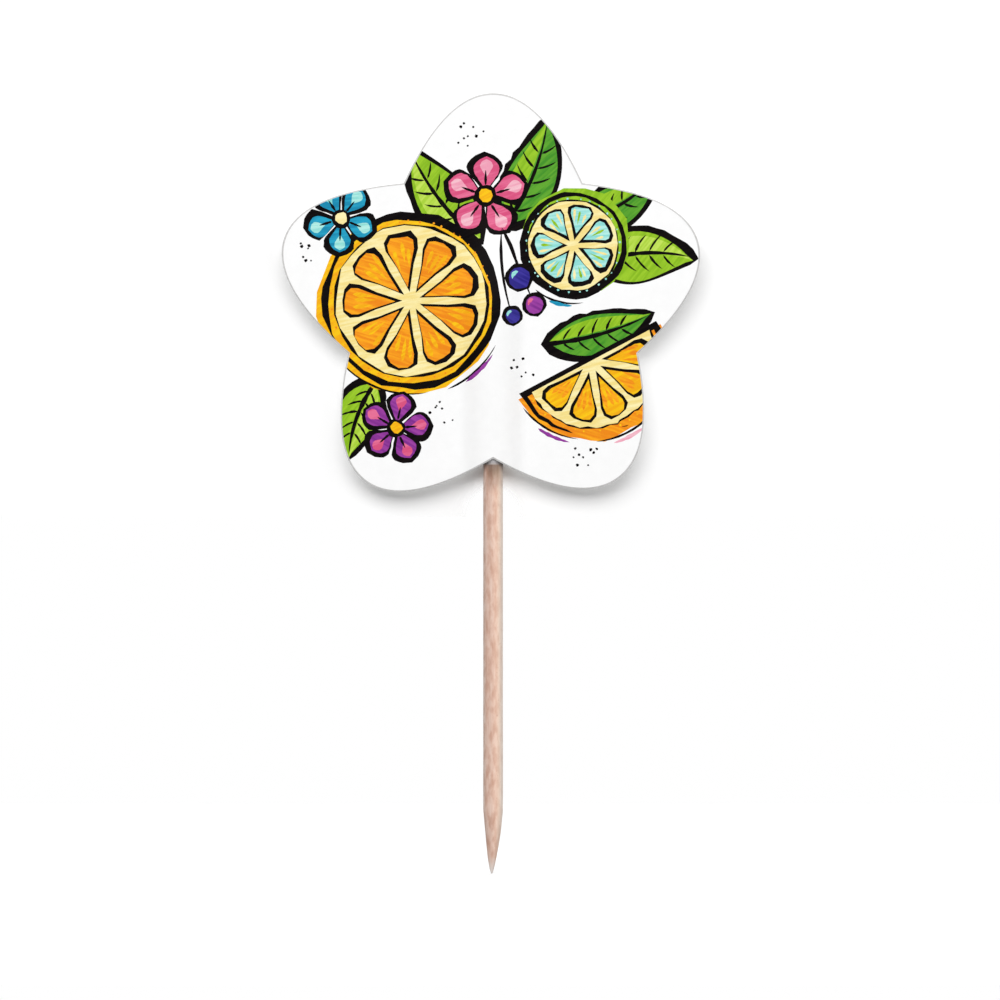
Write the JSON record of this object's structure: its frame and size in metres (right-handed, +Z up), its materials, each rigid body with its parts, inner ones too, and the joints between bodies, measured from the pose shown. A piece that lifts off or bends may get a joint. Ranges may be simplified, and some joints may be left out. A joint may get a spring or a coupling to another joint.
{
  "type": "cupcake pick",
  "caption": "Flower-shaped card topper on a round pointed wooden pick, for standing in a cupcake or a canape.",
  "frame": {"origin": "the lower point of the wooden pick, which goes into the cake", "axes": "+Z up along the pick, +Y out of the plain back card, so the printed front card faces -Y, and +X to the right as seen from the front"},
  "size_m": [0.0439, 0.0028, 0.082],
  "materials": {
    "wood": "matte",
    "printed_card": "satin",
    "plain_card": "matte",
    "glue": "satin"
  },
  "bodies": {
    "root": {"wooden_pick": "wood", "front_card": "printed_card", "back_card": "plain_card", "glue_film": "glue"}
  },
  "joints": []
}
